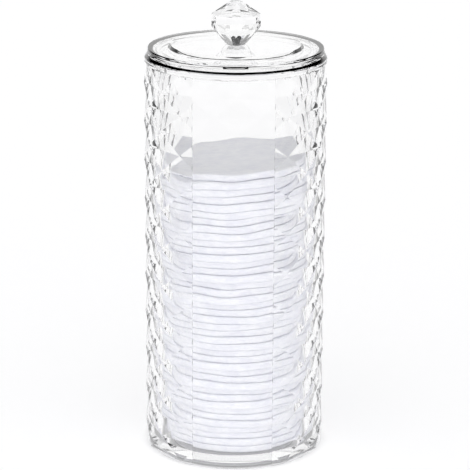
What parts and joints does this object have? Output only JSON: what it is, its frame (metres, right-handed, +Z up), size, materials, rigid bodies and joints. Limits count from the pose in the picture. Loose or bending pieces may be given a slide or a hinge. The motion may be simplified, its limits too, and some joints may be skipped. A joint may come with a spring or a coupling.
{
  "type": "cotton pad canister",
  "caption": "Tall round clear canister with a diamond-cut wall, a plain front window, a lift-off lid with a cut knob, and a stack of cotton pads inside.",
  "frame": {"origin": "middle of the face that the canister stands on", "axes": "+Z up along the jar's axis, -Y towards the side with the plain window"},
  "size_m": [0.0702, 0.0703, 0.1774],
  "materials": {
    "jar_plastic": "clear, polished",
    "lid_plastic": "clear, polished",
    "knob_plastic": "clear, polished facets",
    "cotton": "soft, matt"
  },
  "bodies": {
    "jar": {"jar": "jar_plastic", "cotton_pad_01": "cotton", "cotton_pad_02": "cotton", "cotton_pad_03": "cotton", "cotton_pad_04": "cotton", "cotton_pad_05": "cotton", "cotton_pad_06": "cotton", "cotton_pad_07": "cotton", "cotton_pad_08": "cotton", "cotton_pad_09": "cotton", "cotton_pad_10": "cotton", "cotton_pad_11": "cotton", "cotton_pad_12": "cotton", "cotton_pad_13": "cotton", "cotton_pad_14": "cotton", "cotton_pad_15": "cotton", "cotton_pad_16": "cotton", "cotton_pad_17": "cotton", "cotton_pad_18": "cotton", "cotton_pad_19": "cotton", "cotton_pad_20": "cotton", "cotton_pad_21": "cotton", "cotton_pad_22": "cotton", "cotton_pad_23": "cotton", "cotton_pad_24": "cotton", "cotton_pad_25": "cotton", "cotton_pad_26": "cotton", "cotton_pad_27": "cotton", "cotton_pad_28": "cotton", "cotton_pad_29": "cotton", "cotton_pad_30": "cotton", "cotton_pad_31": "cotton", "cotton_pad_32": "cotton", "cotton_pad_33": "cotton", "cotton_pad_34": "cotton", "cotton_pad_35": "cotton", "cotton_pad_36": "cotton", "cotton_pad_37": "cotton", "cotton_pad_38": "cotton", "cotton_pad_39": "cotton", "cotton_pad_40": "cotton", "cotton_pad_41": "cotton"},
    "lid": {"lid": "lid_plastic", "knob": "knob_plastic"}
  },
  "joints": [
    {"name": "lid_lift", "type": "slide", "parent": "jar", "child": "lid", "axis": [0, 0, 1], "range_m": [0, 0.06]}
  ]
}
